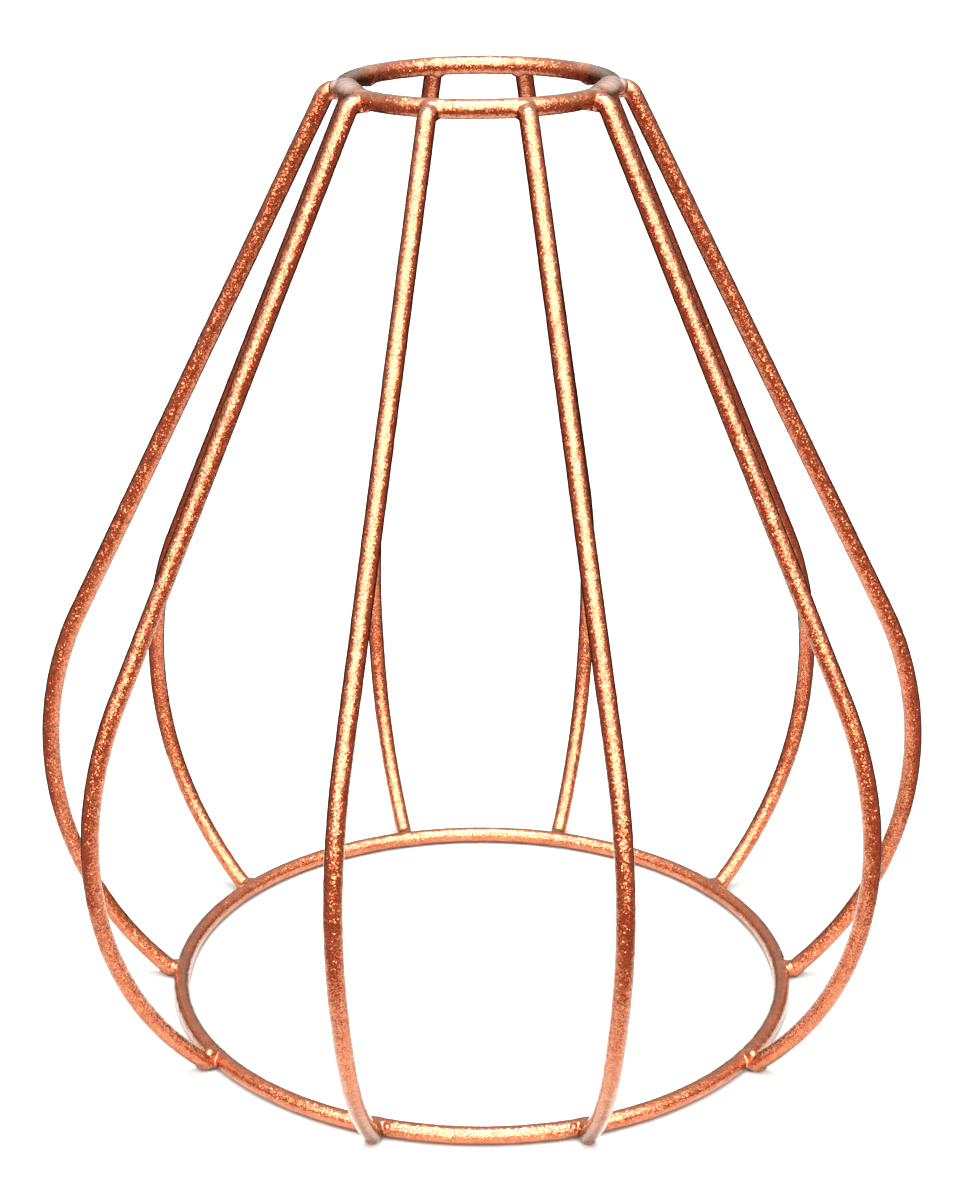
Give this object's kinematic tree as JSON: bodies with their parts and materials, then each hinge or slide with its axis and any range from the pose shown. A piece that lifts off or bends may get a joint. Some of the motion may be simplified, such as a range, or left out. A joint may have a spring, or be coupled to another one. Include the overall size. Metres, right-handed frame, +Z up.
{
  "type": "wire lampshade",
  "caption": "Open cage lampshade of round copper-coloured wire: bulging ribs welded between a small top ring and a wider bottom ring.",
  "frame": {"origin": "on the shade's axis, level with the underside of the bottom ring, which it stands on", "axes": "+Z up along the shade's axis towards the top ring, -Y towards the front, between two ribs"},
  "size_m": [0.1648, 0.158, 0.1741],
  "materials": {
    "ring_wire": "steel wire with an antique copper hammered coating",
    "rib_wire": "steel wire with an antique copper hammered coating",
    "weld_metal": "steel weld bead under the same copper coating, smooth"
  },
  "bodies": {
    "root": {"top_ring": "ring_wire", "bottom_ring": "ring_wire", "rib_01": "rib_wire", "rib_02": "rib_wire", "rib_03": "rib_wire", "rib_04": "rib_wire", "rib_05": "rib_wire", "rib_06": "rib_wire", "rib_07": "rib_wire", "rib_08": "rib_wire", "rib_09": "rib_wire", "rib_10": "rib_wire", "weld_top_01": "weld_metal", "weld_top_02": "weld_metal", "weld_top_03": "weld_metal", "weld_top_04": "weld_metal", "weld_top_05": "weld_metal", "weld_top_06": "weld_metal", "weld_top_07": "weld_metal", "weld_top_08": "weld_metal", "weld_top_09": "weld_metal", "weld_top_10": "weld_metal", "weld_bottom_01": "weld_metal", "weld_bottom_02": "weld_metal", "weld_bottom_03": "weld_metal", "weld_bottom_04": "weld_metal", "weld_bottom_05": "weld_metal", "weld_bottom_06": "weld_metal", "weld_bottom_07": "weld_metal", "weld_bottom_08": "weld_metal", "weld_bottom_09": "weld_metal", "weld_bottom_10": "weld_metal"}
  },
  "joints": []
}
